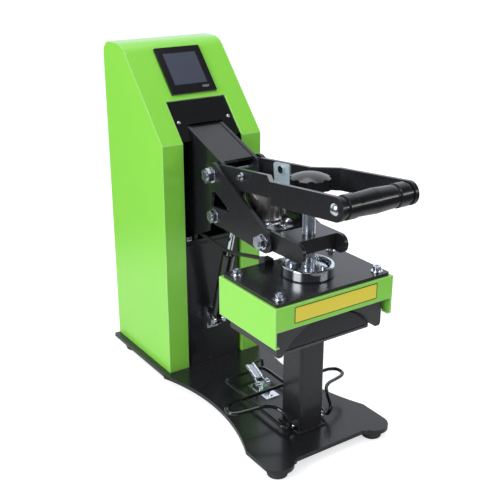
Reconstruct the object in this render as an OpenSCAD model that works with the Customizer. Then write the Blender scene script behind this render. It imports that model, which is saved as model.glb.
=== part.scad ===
// Clamshell cap heat press, millimetres.
// X is the operator's right, -Y the front, +Z up, the feet stand on Z = 0.

/* [Frame] */
// Height of the whole press
press_h = 482; // [470:1:490]
// Width over the front lobes of the base
base_w = 195; // [190:1:200]
// Length of the base from the front lobes to the rear cover
base_len = 464; // [460:1:468]
// Thickness of the base plate
base_t = 6; // [5:1:8]
// Height of the rubber feet
foot_h = 14; // [12:1:16]

/* [Tower] */
// Width of the green housing
tower_w = 159; // [156:1:162]
// Width of the slot in its front
slot_w = 95; // [94:0.5:96]
// Height where the sloped face starts
knee_z = 360; // [356:1:362]
// Angle of the sloped face from level
slope_a = 48.5; // [48:0.5:49]
// Sheet thickness of the housing
sheet = 2; // [1.5:0.5:2]

/* [Arm] */
// Height of the main pivot
pivot_z = 330; // [328:1:332]
// Diameter of the main pivot bolt
pivot_d = 12; // [10:1:12]
// Thickness of the side plates and the handle bars
plate_t = 5; // [4:0.5:5]

/* [Platen] */
// Width of the platen cover
cover_w = 180; // [176:1:184]
// Width of the curved heater block
heater_w = 163; // [150:1:166]
// Depth of the lower pad, front to back
pad_len = 88; // [84:1:90]
// Radius of the lower pad's crown
pad_r = 85.8; // [85:0.2:86]
// Diameter of the pressure screw
screw_d = 16; // [14:1:16]

/* [Handle] */
// Height of the flat handle bars
bar_h = 28; // [24:1:30]
// Diameter of the grip at its middle
grip_d = 29; // [28:0.5:30]
// Diameter of the round magnet
magnet_d = 50; // [46:1:50]

/* [Hidden] */
$fn = 64;
eps = 0.01;
// Everything is drawn with the base centred on Y = 0, then moved so that
// the whole press, handle included, is centred.
y_shift = 27.7;

plate_z = foot_h + base_t;
half_w = base_w / 2;
front_y = -base_len / 2;
back_y = 219;
hx = tower_w / 2;
sx = slot_w / 2;

// Main pivot, gas spring pin, elbow bolt
pv = [-5.5, pivot_z];
sp = [-11.5, pivot_z - 55];
el = [-122, 273];
// Handle bars rise a little to the front
bar_tilt = 6.2;
grip_reach = 269;
// Screw and platen centre line
cy = -162;
// Centre height of the pad's crown circle
pad_cz = 199 - pad_r;
// X of the layers round the pivot, inner faces
cheek_x = 24;
bar_x = 29;
arm_x = 34.6;
// Lower end of the gas spring
gs_x = -5;
gs = [44, 92];
gs_vec = sp - gs;
gs_len = norm(gs_vec);
gs_tilt = atan2(-gs_vec[0], gs_vec[1]);
// Tensioner pivot
tp = [-166, 27];
// Latch
lx = 4;
lp = [-60, 30];

black = "#1a1b1d";
dark = "#3a3b3f";
zinc = "#c9ccd0";
green = "#74d42f";
rubber = "#141414";

// Small helpers

// A profile drawn in Y and Z, given a width along X from x0 to x1
module along_x(x0, x1) {
  translate([x0, 0, 0]) rotate([90, 0, 90]) linear_extrude(x1 - x0) children();
}

// A round bar along X
module bar_x_axis(x0, x1, p, d) {
  translate([x0, p[0], p[1]]) rotate([0, 90, 0]) cylinder(h = x1 - x0, d = d);
}

// A six-sided nut or bolt head along X
module hex_x(x0, x1, p, af) {
  translate([x0, p[0], p[1]]) rotate([0, 90, 0])
    cylinder(h = x1 - x0, d = af / cos(30), $fn = 6);
}

module mirrored() {
  children();
  mirror([1, 0, 0]) children();
}

// A rectangle with round corners, from exact pieces
module rounded(w, h, r) {
  square([w - 2 * r, h], center = true);
  square([w, h - 2 * r], center = true);
  for (x = [-1, 1], y = [-1, 1])
    translate([x * (w / 2 - r), y * (h / 2 - r)]) circle(r);
}

// The plane of the sloped face: x across, y up the slope, z outward
module on_slope() {
  translate([0, 54, knee_z]) rotate([slope_a, 0, 0]) children();
}

// A round wire or lead swept along points, for rods that bend
function unit(v) = v / norm(v);
function bez(p, i, t) = let (a = p[max(i - 1, 0)], b = p[i], c = p[i + 1],
    d = p[min(i + 2, len(p) - 1)])
  0.5 * (2 * b + (c - a) * t + (2 * a - 5 * b + 4 * c - d) * t * t
    + (3 * b - a - 3 * c + d) * t * t * t);
function smooth(p, n) = [for (i = [0 : len(p) - 2], k = [0 : n - 1])
    bez(p, i, k / n), p[len(p) - 1]];
function tangent(q, i) =
  unit(q[min(i + 1, len(q) - 1)] - q[max(i - 1, 0)]);
// Frames are carried along the route so that the tube doesn't twist
function carry(q, i, n) = i >= len(q) ? [] :
  let (t = tangent(q, i), m = unit(n - (n * t) * t))
  concat([m], carry(q, i + 1, m));
module swept(q, r, sides, n0) {
  f = carry(q, 0, n0);
  pts = [for (i = [0 : len(q) - 1], k = [0 : sides - 1])
    let (t = tangent(q, i), b = cross(t, f[i]), a = 360 * k / sides)
    q[i] + r * (cos(a) * f[i] + sin(a) * b)];
  n = len(q);
  polyhedron(pts, concat(
    [[for (k = [sides - 1 : -1 : 0]) k]],
    [[for (k = [0 : sides - 1]) (n - 1) * sides + k]],
    [for (i = [0 : n - 2], k = [0 : sides - 1])
      let (a = i * sides + k, b = i * sides + (k + 1) % sides)
      [a, b, b + sides, a + sides]]));
}

// Base

module base_outline() {
  // Arcs cut the waist, discs round the lobes
  wr = 290;
  difference() {
    translate([-half_w, -214]) square([base_w, 214 + back_y + 0.5]);
    for (s = [-1, 1]) translate([s * (71 + wr), -49]) circle(wr, $fn = 96);
    for (s = [-1, 1]) translate([s * half_w - (s < 0 ? 0 : 9.5), 55])
      square([9.5, 200]);
    for (s = [-1, 1]) difference() {
      translate([s * (half_w - 10) - 10.5, -215]) square([21, 24]);
      translate([s * (half_w - 20), -212 + 21]) circle(20);
    }
  }
  for (s = [-1, 1]) translate([s * (half_w - 20), front_y + 20]) circle(20);
  // Flats that lead from the lobes into the front edge
  for (s = [-1, 1]) difference() {
    translate([s * 57.5 - 10, -222]) square([20, 10]);
    translate([s * 46, -228]) circle(12);
  }
  translate([-half_w + 20, -219]) square([base_w - 40, 6]);
  for (s = [-1, 1]) translate([s * (half_w - 10) - 10, -212])
    square([20, 21.5]);
}

foot_at = [[-77.5, -210], [77.5, -210], [-68, 190], [68, 190]];

module base_plate() {
  color(black) difference() {
    translate([0, 0, foot_h]) linear_extrude(base_t) base_outline();
    for (p = foot_at) translate([p[0], p[1], foot_h - 1])
      cylinder(h = 5, d = 6);
  }
}

module rubber_feet() {
  color(rubber) for (p = foot_at) translate(p) difference() {
    rotate_extrude() polygon([[0, 0], [11, 0], [13, 1.5], [15.5, 11],
      [15.5, 13], [14.5, foot_h], [0, foot_h]]);
    translate([0, 0, -1]) cylinder(h = 7, d = 13);
    cylinder(h = foot_h + 1, d = 6);
  }
}

module foot_screws() {
  color(zinc) for (p = foot_at) translate(p) {
    translate([0, 0, 3]) cylinder(h = 3, d = 11);
    translate([0, 0, 6]) cylinder(h = foot_h - 2, d = 5.9);
  }
}

// Post and lower platen

post_y = -158;
post_top = 162;

module support_post() {
  color(black) difference() {
    translate([0, post_y, plate_z]) union() {
      linear_extrude(post_top - plate_z) rounded(38, 40, 4);
      // Weld bead round the foot
      difference() {
        translate([-21.5, -22.5, 0]) cube([43, 45, 2.2]);
        for (a = [0 : 3]) rotate([0, 0, a * 90])
          translate([-30, (a % 2 == 0 ? 20 : 19) + 2.5, 2.2])
            rotate([45, 0, 0]) cube([60, 3.6, 3.6], center = false);
      }
    }
    translate([0, post_y, plate_z - 1]) linear_extrude(post_top - plate_z - 7)
      rounded(32, 34, 2);
    for (y = [-12, 12]) translate([0, post_y + y, post_top - 9])
      cylinder(h = 10, d = 6.4);
    // Holes for the tensioner's pivots
    bar_x_axis(-20, -15, tp, 9.2);
    bar_x_axis(15, 20, tp, 9.2);
  }
}

module lower_platen_plate() {
  color("#8d9095") difference() {
    translate([0, cy, post_top]) linear_extrude(3.2) rounded(132, pad_len, 3);
    for (y = [-12, 12]) translate([0, post_y + y, post_top - 1])
      cylinder(h = 6, d = 6.4);
  }
}

module lower_platen_pad() {
  color(rubber) difference() {
    intersection() {
      translate([0, cy, post_top + 3.2]) translate([-66, -pad_len / 2, 0])
        cube([132, pad_len, 40]);
      translate([0, cy - pad_len / 2 - 1, pad_cz]) rotate([-90, 0, 0])
        cylinder(h = pad_len + 2, r = pad_r, $fn = 128);
    }
    // Pockets over the heads of the two plate screws
    for (y = [-12, 12]) translate([0, post_y + y, post_top])
      cylinder(h = 10, d = 13);
  }
}

// Tower

// Side view of the housing, drawn d inside the outer skin
c1 = [176.4, 450];
function slope_n() = [-sin(slope_a), cos(slope_a)];
module tower_side(d) {
  r1 = press_h - c1[1];
  t = c1 + (r1 - d) * slope_n();
  kz = knee_z - d * tan((90 - slope_a) / 2) * 0.98;
  polygon([[54 + d, plate_z - 1], [54 + d, kz], t, c1,
    [back_y - 20, press_h - 20], [back_y - d, press_h - 20],
    [back_y - d, plate_z - 1]]);
  translate(c1) circle(r1 - d);
  translate([back_y - 20, press_h - 20]) circle(20 - d);
  translate([c1[0], c1[1]]) square([back_y - 20 - c1[0], press_h - d - c1[1]]);
}

module tower_housing() {
  color(green) difference() {
    union() {
      difference() {
        along_x(-hx, hx) tower_side(0);
        along_x(-hx + sheet, hx - sheet) tower_side(sheet);
      }
      // Folded returns beside the slot
      mirrored() along_x(sx, sx + sheet) intersection() {
        tower_side(0.5);
        translate([50, plate_z]) square([18, knee_z - plate_z - 8]);
      }
      // Folded feet that are screwed to the base
      mirrored() translate([hx - 16, 70, plate_z]) cube([15, 130, sheet]);
    }
    translate([-200, -50, -50]) cube([400, 400, 50 + plate_z]);
    // Slot, up the front and part of the slope
    along_x(-sx, sx) polygon([[40, 0], [58.5, 0], [58.5, knee_z - 1.7],
      [101.3, 406.7], [90.5, 416.3], [40, 416]]);
    // Opening for the controller
    on_slope() translate([-32, 79, -6]) cube([66, 65, 12]);
    // Opening behind the rear cover
    translate([-56, back_y - 6, 84]) cube([112, 12, 330]);
    // Inlet and switch
    translate([-50, back_y - 6, 36]) cube([28, 12, 22]);
    translate([22, back_y - 6, 36]) cube([28, 12, 20]);
  }
}

module throat_plate() {
  color(black) difference() {
    on_slope() translate([-62, 4, -sheet - 2.2]) cube([124, 70, 2]);
    // The head bracket comes out through this notch
    on_slope() translate([-29, -5, -8]) cube([58, 34.5, 12]);
    for (x = [-40, 40]) on_slope() translate([x, 33, -8])
      cylinder(h = 12, d = 3.4);
  }
}

module column() {
  color(black) difference() {
    union() {
      translate([0, 98, plate_z]) linear_extrude(190) rounded(93, 80, 6);
      // Foot plate
      translate([-60, 70, plate_z]) cube([120, 100, 6]);
      // Back plate that stiffens the head bracket
      translate([-46, 132, 209]) cube([92, 6, 150]);
    }
    translate([0, 98, plate_z - 1]) linear_extrude(187) rounded(85, 72, 3);
    for (x = head_bolt_x, y = [68, 120]) translate([x, y, 200])
      cylinder(h = 20, d = 8);
  }
}

head_bolt_x = [-37, 37];

module cheek_side() {
  translate(pv) circle(17);
  polygon([[pv[0] - 6, pv[1] + 15.9], [86, 382], [131.9, 382],
    [131.9, 216], [62, 216], [60, 224], [26, 240], [12, 300],
    [pv[0] + 7, pv[1] - 15.5]]);
}

module head_bracket() {
  color(dark) {
    difference() {
      union() {
        mirrored() along_x(cheek_x, cheek_x + 4.5) cheek_side();
        // Sloped web between the cheeks, set a little below their edges
        along_x(-cheek_x, cheek_x) polygon([[pv[0] - 2, 342.3],
          [pv[0] - 2, 346.3], [86, 380.6], [131.9, 380.6], [131.9, 376.6],
          [87, 376.6]]);
        // Foot plate on the column
        difference() {
          translate([-46, 60, 210]) cube([92, 71.9, 6]);
          for (x = head_bolt_x, y = [68, 120]) translate([x, y, 200])
            cylinder(h = 20, d = 8.4);
        }
        // Rear web
        along_x(-cheek_x, cheek_x) polygon([[126, 216], [131.9, 216],
          [131.9, 380], [126, 380]]);
      }
      bar_x_axis(-60, 60, pv, pivot_d);
    }
  }
}

module head_bracket_bolts() {
  color(zinc) for (x = head_bolt_x, y = [68, 120]) translate([x, y, 0]) {
    translate([0, 0, 201]) cylinder(h = 15, d = 7.9);
    translate([0, 0, 216]) cylinder(h = 1.4, d = 15);
    translate([0, 0, 217.4]) cylinder(h = 5, d = 13 / cos(30), $fn = 6);
  }
}

module controller_bezel() {
  color(black) on_slope() difference() {
    union() {
      translate([1, 111.8, 0]) linear_extrude(3) rounded(72.6, 75.4, 1.2);
      translate([1, 111.5, -18]) linear_extrude(18.5) rounded(64, 63, 2);
    }
    translate([1, 114, 1.4]) linear_extrude(4) rounded(52, 51, 0.8);
    translate([1, 111.5, -16.5]) linear_extrude(16.5) rounded(60, 59, 1.5);
    // Slots at the back for the plugs
    for (x = [-18, 14]) translate([x, 84, -19]) cube([10, 10, 4]);
  }
}

module controller_screen() {
  color("#5a6670") on_slope()
    translate([1, 114, 1.4]) linear_extrude(1.5) rounded(51.8, 50.8, 0.7);
}

module control_board() {
  color("#1f5b38") on_slope() {
    translate([-26, 88, -20.2]) cube([52, 50, 1.6]);
    for (x = [-16, 0, 16]) translate([x, 96, -26.2]) cube([9, 12, 6.2]);
    translate([-12, 120, -32.2]) cylinder(h = 12.1, d = 10);
  }
}

module power_module() {
  color("#6f7479") {
    // Heat sink with fins, and its solid-state relay, on the back plate
    translate([-30, 138, 240]) cube([60, 4, 80]);
    for (x = [-30 : 8.5 : 24]) translate([x, 141.5, 240]) cube([2.4, 16, 80]);
    translate([-20, 157, 258]) cube([40, 14, 44]);
  }
}

module rear_cover() {
  color(black) difference() {
    translate([0, back_y + 13, 249]) rotate([90, 0, 0]) union() {
      linear_extrude(11) rounded(120, 338, 8);
      translate([0, 0, 11]) linear_extrude(2) rounded(138, 356, 8);
    }
    translate([0, back_y + 11, 249]) rotate([90, 0, 0]) linear_extrude(14)
      rounded(116, 334, 6);
    for (z = [120 : 12 : 216], x = [-28, 28])
      translate([x, back_y + 9, z]) rotate([-90, 0, 0]) linear_extrude(8)
        rounded(40, 4, 1.9);
  }
}

module power_inlet() {
  color(black) {
    difference() {
      union() {
        translate([-58, back_y, 31]) cube([44, 3, 32]);
        translate([-49.5, back_y - 22, 36.5]) cube([27, 22.5, 21]);
      }
      translate([-47, back_y - 15, 39]) cube([22, 20, 16]);
    }
  }
  color(zinc) for (p = [[-41, 45], [-31, 45], [-36, 50]])
    translate([p[0] - 1, back_y - 15.2, p[1] - 2]) cube([2, 13, 4]);
}

module power_switch() {
  color(black) difference() {
    union() {
      translate([19, back_y, 33]) cube([34, 2.4, 26]);
      translate([22.5, back_y - 20, 36.5]) cube([27, 20.5, 19]);
    }
    translate([24.5, back_y - 14, 38.5]) cube([23, 20, 15]);
  }
}

module power_rocker() {
  color(rubber) translate([36, back_y - 2, 46]) rotate([0, 90, 0])
    translate([0, 0, -11]) linear_extrude(22) difference() {
      union() {
        intersection() {
          circle(8.6);
          translate([-6.6, -1]) square([13.2, 7]);
        }
        translate([-6.6, -3]) square([13.2, 3]);
      }
      // The dished face
      translate([0, 14]) circle(9.6);
    }
}

// Arm

module main_pivot_bolt() {
  color(zinc) {
    bar_x_axis(-51, 42, pv, pivot_d - 0.1);
    hex_x(41.2, 48.5, pv, 18);
    bar_x_axis(arm_x + plate_t, 41.2, pv, 22);
  }
}

module main_pivot_nut() {
  color(zinc) difference() {
    union() {
      hex_x(-49.5, -41.2, pv, 18);
      bar_x_axis(-41.2, -arm_x - plate_t, pv, 22);
    }
    bar_x_axis(-60, -39, pv, pivot_d);
  }
}

module arm_side() {
  translate(pv) circle(17);
  translate(sp) circle(12.5);
  translate([-124, 273.5]) circle(14.8);
  polygon([[-13.2, 345.2], [-34, 335.5], [-133.5, 285], [-138.2, 277],
    [-137, 266.5], [-124, 258.7], [-100, 259.2], [-48, 262.8], [-11, 262.6],
    [-12.5, 287.4], [-50, 290.5], [3.5, 316.5], [4.5, 332]]);
}

module arm_plate(x0) {
  color(dark) difference() {
    along_x(x0, x0 + plate_t) arm_side();
    bar_x_axis(-60, 60, pv, pivot_d + 0.1);
    bar_x_axis(-60, 60, sp, 10);
    bar_x_axis(-60, 60, el, 10);
    bar_x_axis(-60, 60, [-133, 277.5], 4);
  }
}

module left_arm_plate() { arm_plate(-arm_x - plate_t); }
module right_arm_plate() { arm_plate(arm_x); }

module spring_pin() {
  color(zinc) {
    bar_x_axis(-48, 48, sp, 9.9);
    // Spacer tube between the plates, clear of the spring's eye
    difference() {
      bar_x_axis(-arm_x, arm_x, sp, 15);
      bar_x_axis(gs_x - 8, gs_x + 8, sp, 20);
      bar_x_axis(-50, 50, sp, 9.9);
    }
    mirrored() {
      hex_x(41, 47, sp, 16);
      bar_x_axis(arm_x + plate_t, 41, sp, 19);
    }
  }
}

module elbow_bolts() {
  color(zinc) mirrored() {
    bar_x_axis(25.6, 50.5, el, 9.9);
    hex_x(41.1, 48.8, el, 16);
    bar_x_axis(arm_x + plate_t, 41.1, el, 20);
    bar_x_axis(24, 29.6, el, 15);
    bar_x_axis(29.6, 40.6, [-133, 277.5], 3.9);
  }
}

module yoke_cheek() {
  translate([-184, 276]) circle(12);
  polygon([[-184, 288], [-184, 264], [-176, 264.5], [-100, 262], [-92, 266],
    [-92, 281.5], [-100, 286], [-128, 288]]);
}

module yoke() {
  color(dark) difference() {
    union() {
      mirrored() along_x(arm_x - plate_t, arm_x) yoke_cheek();
      // Web over the screw and the front flange
      translate([-arm_x + plate_t, -180, 284])
        cube([2 * (arm_x - plate_t), 40, 4]);
      translate([-arm_x + plate_t, -180, 270])
        cube([2 * (arm_x - plate_t), 4, 15]);
      // Carrier bar that the armature is screwed to
      translate([-arm_x + plate_t, -114, 268])
        cube([2 * (arm_x - plate_t), 21, 11.5]);
    }
    translate([0, cy, 260]) cylinder(h = 40, d = screw_d + 0.12);
    bar_x_axis(-60, 60, el, 10);
    bar_x_axis(-60, 60, [-133, 277.5], 4);
    for (x = [-16, 16]) translate([x, -99, 260]) cylinder(h = 30, d = 5);
    translate([0, -110, 260]) cylinder(h = 30, d = 6);
  }
}

module armature_plate() {
  color(zinc) difference() {
    translate([0, -73, 279.5]) linear_extrude(4.2) rounded(48, 62, 3);
    for (x = [-16, 16]) translate([x, -99, 270]) cylinder(h = 30, d = 5.2);
  }
}

module armature_bolts() {
  color(zinc) for (x = [-16, 16]) translate([x, -99, 0]) {
    translate([0, 0, 269]) cylinder(h = 15, d = 4.9);
    translate([0, 0, 283.7]) intersection() {
      cylinder(h = 3.2, d = 9.5);
      translate([0, 0, -3.4]) sphere(6.6);
    }
  }
}

module guide_stud() {
  color("#e4e6e8") translate([0, -110, 0]) {
    translate([0, 0, 264]) cylinder(h = 56, d = 5.95);
    translate([0, 0, 320]) cylinder(h = 1, d1 = 5.95, d2 = 4.4);
    translate([0, 0, 279.5]) cylinder(h = 4.6, d = 9 / cos(30), $fn = 6);
    translate([0, 0, 263]) cylinder(h = 5, d = 10 / cos(30), $fn = 6);
  }
}

module screw_nut() {
  // Hexagon nut welded under the yoke's web
  color(black) difference() {
    translate([0, cy, 268]) cylinder(h = 16, d = 24 / cos(30), $fn = 6);
    translate([0, cy, 260]) cylinder(h = 40, d = screw_d + 0.12);
  }
}

// Handle, drawn level with its pivot at the origin, then tilted

module handle_place() {
  translate([0, pv[0], pv[1]]) rotate([-bar_tilt, 0, 0]) children();
}

crank0 = -119;
crank1 = -153;
crank_dx = 20.5;

module handle_bar_plan() {
  polygon([[bar_x, 14], [bar_x + plate_t, 14], [bar_x + plate_t, crank0 + 1],
    [bar_x + plate_t + crank_dx, crank1 + 1],
    [bar_x + plate_t + crank_dx, -grip_reach - 15],
    [bar_x + crank_dx, -grip_reach - 15], [bar_x + crank_dx, crank1 - 1],
    [bar_x, crank0 - 1]]);
}

module handle_bar(s) {
  color(black) difference() {
    handle_place() difference() {
      intersection() {
        mirror([s < 0 ? 1 : 0, 0, 0]) translate([0, 0, -30])
          linear_extrude(60) handle_bar_plan();
        // Side view: a flat bar with round ends
        along_x(-80, 80) union() {
          circle(bar_h / 2);
          translate([-grip_reach, -bar_h / 2]) square([grip_reach, bar_h]);
          translate([-grip_reach, 0]) circle(bar_h / 2);
        }
      }
      bar_x_axis(-80, 80, [0, 0], pivot_d + 0.1);
      bar_x_axis(-80, 80, [-grip_reach, 0], 8.2);
      bar_x_axis(-60, 60, [-67, 5.5], 6);
    }
  }
}

module left_handle_bar() { handle_bar(-1); }
module right_handle_bar() { handle_bar(1); }

grip_in = bar_x + crank_dx;

module handle_grip() {
  // Barrel-shaped, thickest in the middle
  color(black) handle_place() translate([0, -grip_reach, 0])
    rotate([0, 90, 0]) difference() {
      rotate_extrude() intersection() {
        translate([0, -29]) square([grip_d / 2, 58]);
        translate([grip_d / 2 - 240, 0]) circle(240);
      }
      translate([0, 0, -60]) cylinder(h = 120, d = 8.2);
    }
}

module grip_collars() {
  color(black) handle_place() translate([0, -grip_reach, 0])
    rotate([0, 90, 0]) for (s = [0, 1]) mirror([0, 0, s]) difference() {
      rotate_extrude() polygon([[0, 29.2], [13, 29.2], [14.1, 30.2],
        [14.1, 43], [13.4, 43.8], [12.2, 43.8], [12.2, grip_in],
        [0, grip_in]]);
      translate([0, 0, -60]) cylinder(h = 120, d = 8.2);
    }
}

module grip_screws() {
  color(zinc) handle_place() translate([0, -grip_reach, 0])
    rotate([0, 90, 0]) {
      translate([0, 0, -grip_in - plate_t]) cylinder(h = 2 * (grip_in + plate_t), d = 8);
      for (s = [0, 1]) mirror([0, 0, s]) translate([0, 0, grip_in + plate_t])
        intersection() {
          cylinder(h = 4.5, d = 14);
          translate([0, 0, -4.6]) sphere(9.2);
        }
    }
}

mb_x = bar_x;

module magnet_bracket() {
  color(zinc) handle_place() difference() {
    translate([0, -64, 0]) union() {
      for (s = [-1, 1]) translate([s > 0 ? mb_x - 2.5 : -mb_x, -17, -15])
        rotate([0, 90, 0]) rotate([0, 0, 90]) linear_extrude(2.5)
          translate([17, 14]) rounded(34, 28, 4);
      translate([-mb_x, -17, -16]) cube([2 * mb_x, 34, 3]);
      for (s = [-1, 1]) translate([s > 0 ? mb_x - 2.5 : -mb_x, -17, -15])
        cube([2.5, 34, 10]);
    }
    bar_x_axis(-60, 60, [-67, 5.5], 6.2);
    translate([0, -64, -20]) cylinder(h = 10, d = 8.2);
  }
}

module magnet_bracket_bolts() {
  color(zinc) handle_place() {
    mirrored() {
      bar_x_axis(mb_x - 3.5, 43, [-67, 5.5], 5.9);
      hex_x(mb_x - 6.5, mb_x - 2.5, [-67, 5.5], 10);
      hex_x(bar_x + plate_t, bar_x + plate_t + 4.6, [-67, 5.5], 10);
    }
    translate([0, -64, -19]) cylinder(h = 12, d = 8);
    translate([0, -64, -13]) cylinder(h = 6, d = 13 / cos(30), $fn = 6);
  }
}

magnet_h = 36.3;

module electromagnet() {
  // Nickelled pot with a ring groove round its pole
  color("#a9a59a") handle_place() translate([0, -64, -16])
    rotate([bar_tilt, 0, 0]) difference() {
      translate([0, 0, -magnet_h]) rotate_extrude() polygon([[0, 0], [8, 0],
        [8, 3], [18, 3], [18, 0], [magnet_d / 2 - 1, 0], [magnet_d / 2, 1],
        [magnet_d / 2, magnet_h - 1], [magnet_d / 2 - 1, magnet_h],
        [0, magnet_h]]);
      translate([0, 0, -6]) cylinder(h = 10, d = 8);
      rotate([-bar_tilt, 0, 0]) translate([-40, -40, 0]) cube([80, 80, 10]);
    }
}

// Pressure screw

module star_knob() {
  // Domed top over a skirt with eight finger flutes
  color(black) translate([0, cy, 345]) difference() {
    union() {
      intersection() {
        cylinder(h = 40, d = 49.6);
        translate([0, 0, -33]) sphere(52.6, $fn = 96);
      }
      translate([0, 0, -7]) cylinder(h = 10, d = 25);
    }
    for (a = [0 : 45 : 315]) rotate([0, 0, a + 10]) translate([29.2, 0, -2])
      cylinder(h = 40, r = 6.8);
    translate([0, 0, -8]) cylinder(h = 14, d = 10);
  }
}

module pressure_screw() {
  color(zinc) translate([0, cy, 0]) {
    translate([0, 0, 241.5]) cylinder(h = 96.4, d = screw_d);
    translate([0, 0, 337.9]) cylinder(h = 12.6, d = 9.9);
    // Thrust flange that turns in the cup
    translate([0, 0, 238.7]) cylinder(h = 3.8, d = 24);
  }
}

// Platen

module thrust_cup() {
  color(zinc) translate([0, cy, 235.5]) difference() {
    rotate_extrude() polygon([[0, 0], [31.5, 0], [33, 1.5], [33, 12.8],
      [32.4, 13.7], [31.4, 14], [29.8, 14], [28.8, 13.7], [28.2, 12.8],
      [28.2, 4], [27.2, 3], [0, 3]]);
    for (a = [0 : 90 : 270]) rotate([0, 0, a + 30]) translate([21, 0, -1])
      cylinder(h = 8, d = 5);
  }
}

module thrust_retainer() {
  // Keeper ring over the screw's flange, on four screws
  color(zinc) translate([0, cy, 0]) {
    difference() {
      translate([0, 0, 238.5]) union() {
        linear_extrude(4.3) difference() {
          circle(26);
          circle(12.4);
        }
        translate([0, 0, 4.3]) linear_extrude(1.8) difference() {
          circle(24);
          circle(8.4);
        }
      }
      for (a = [0 : 90 : 270]) rotate([0, 0, a + 30])
        translate([21, 0, 230]) cylinder(h = 30, d = 5);
    }
    for (a = [0 : 90 : 270]) rotate([0, 0, a + 30]) translate([21, 0, 0]) {
      translate([0, 0, 232]) cylinder(h = 12.6, d = 4.9);
      translate([0, 0, 244.6]) cylinder(h = 4, d = 8.5);
    }
  }
}

cw = cover_w / 2;
pf = -219;
pb = -100;

module platen_cover() {
  color(green) difference() {
    union() {
      difference() {
        translate([-cw, pf, 180]) cube([cover_w, pb - pf, 51]);
        translate([-cw + sheet, pf + sheet, 170])
          cube([cover_w - 2 * sheet, pb - pf - 2 * sheet, 59]);
        // The front and the back hang less far down than the sides
        translate([-cw + sheet, pf - 5, 170]) cube([cover_w - 2 * sheet, 20, 31]);
        translate([-cw + sheet, pb - 15, 170]) cube([cover_w - 2 * sheet, 20, 31]);
      }
      // Short flanges turned in under the sides' front corners
      for (s = [-1, 1]) translate([s * (cw - 3) - 3, pf, 180]) cube([6, 11, sheet]);
    }
    for (x = [-75, 75], y = platen_y) translate([x, y, 220])
      cylinder(h = 20, d = 6.4);
    // Large window over the insulation
    translate([-60, cy - 36, 225]) cube([120, 72, 10]);
  }
}

platen_y = [-205, -117];

module platen_top_plate() {
  color(black) difference() {
    translate([0, (pf + pb) / 2, 231]) linear_extrude(4.5)
      rounded(cover_w - 7, pb - pf - 6, 3);
    for (x = [-75, 75], y = platen_y) translate([x, y, 220])
      cylinder(h = 20, d = 6.4);
    for (a = [0 : 90 : 270]) translate([0, cy, 220]) rotate([0, 0, a + 30])
      translate([21, 0, 0]) cylinder(h = 20, d = 5);
  }
}

module platen_bolts() {
  color(zinc) for (x = [-75, 75], y = platen_y) translate([x, y, 0]) {
    translate([0, 0, 205]) cylinder(h = 31.5, d = 5.9);
    translate([0, 0, 235.5]) cylinder(h = 1.2, d = 15);
    difference() {
      translate([0, 0, 236.7]) cylinder(h = 6, d = 10);
      translate([0, 0, 239.7]) cylinder(h = 5, d = 5 / cos(30), $fn = 6);
    }
  }
}

module heater_section() {
  difference() {
    union() {
      translate([-heater_w / 2, 166]) square([heater_w, 48]);
      for (s = [-1, 1]) translate([s * (heater_w / 2 - 4), 166]) circle(4);
      translate([-heater_w / 2 + 4, 162]) square([heater_w - 8, 10]);
    }
    translate([0, pad_cz]) circle(pad_r + 2, $fn = 128);
  }
}

module heater_block() {
  color(dark) difference() {
    translate([0, cy + 50, 0]) rotate([90, 0, 0]) linear_extrude(98)
      heater_section();
    for (x = [-52, 52]) translate([x, cy - 42, 200]) rotate([-90, 0, 0])
      cylinder(h = 100, d = 10);
    for (x = [-75, 75], y = platen_y) translate([x, y, 203])
      cylinder(h = 20, d = 6);
  }
}

module heater_rods() {
  color(zinc) for (x = [-52, 52]) translate([x, cy - 40, 200])
    rotate([-90, 0, 0]) {
      cylinder(h = 88, d = 9.9);
      translate([0, 0, 88]) cylinder(h = 4, d = 7);
    }
}

module insulation_board() {
  color("#d9d2bf") difference() {
    translate([-cw + 8, pf + 8, 214]) cube([cover_w - 16, pb - pf - 16, 15]);
    for (x = [-75, 75], y = platen_y) translate([x, y, 210])
      cylinder(h = 30, d = 6.4);
  }
}

// Gas spring, drawn upright with its lower pin at the origin

module spring_place() {
  translate([gs_x, gs[0], gs[1]]) rotate([gs_tilt, 0, 0]) children();
}

module gas_spring_tube() {
  color(black) spring_place() difference() {
    union() {
      translate([0, 0, 11]) rotate_extrude() polygon([[0, 0], [7, 0], [9, 2],
        [9, 108], [8.2, 110], [0, 110]]);
      // Flat eye on the lower end
      rotate([0, 90, 0]) translate([0, 0, -4]) cylinder(h = 8, d = 14);
      translate([-4, -5, 2]) cube([8, 10, 11]);
    }
    rotate([0, 90, 0]) translate([0, 0, -10]) cylinder(h = 20, d = 8.1);
    translate([0, 0, 22]) cylinder(h = 120, d = 8.2);
  }
}

module gas_spring_rod() {
  color("#dfe2e4") spring_place() difference() {
    union() {
      translate([0, 0, 62]) cylinder(h = gs_len - 72, d = 8);
      // Fork eye with play round the pin
      translate([0, 0, gs_len]) rotate([0, 90, 0]) translate([0, 0, -5])
        cylinder(h = 10, d = 22);
      translate([-5, -5, gs_len - 20]) cube([10, 10, 12]);
    }
    translate([0, 0, gs_len]) rotate([0, 90, 0]) translate([0, 0, -10])
      cylinder(h = 20, d = 15.4);
  }
}

module gas_spring_clevis() {
  color(zinc) difference() {
    union() {
      translate([gs_x - 9.5, 54, gs[1] - 17]) cube([19, 4, 34]);
      for (s = [-1, 1]) along_x(gs_x + (s > 0 ? 4.5 : -7.5), gs_x + (s > 0 ? 7.5 : -4.5))
        union() {
          translate(gs) circle(8);
          translate([gs[0], gs[1] - 8]) square([12, 16]);
        }
    }
    bar_x_axis(-40, 40, gs, 8);
  }
}

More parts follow.
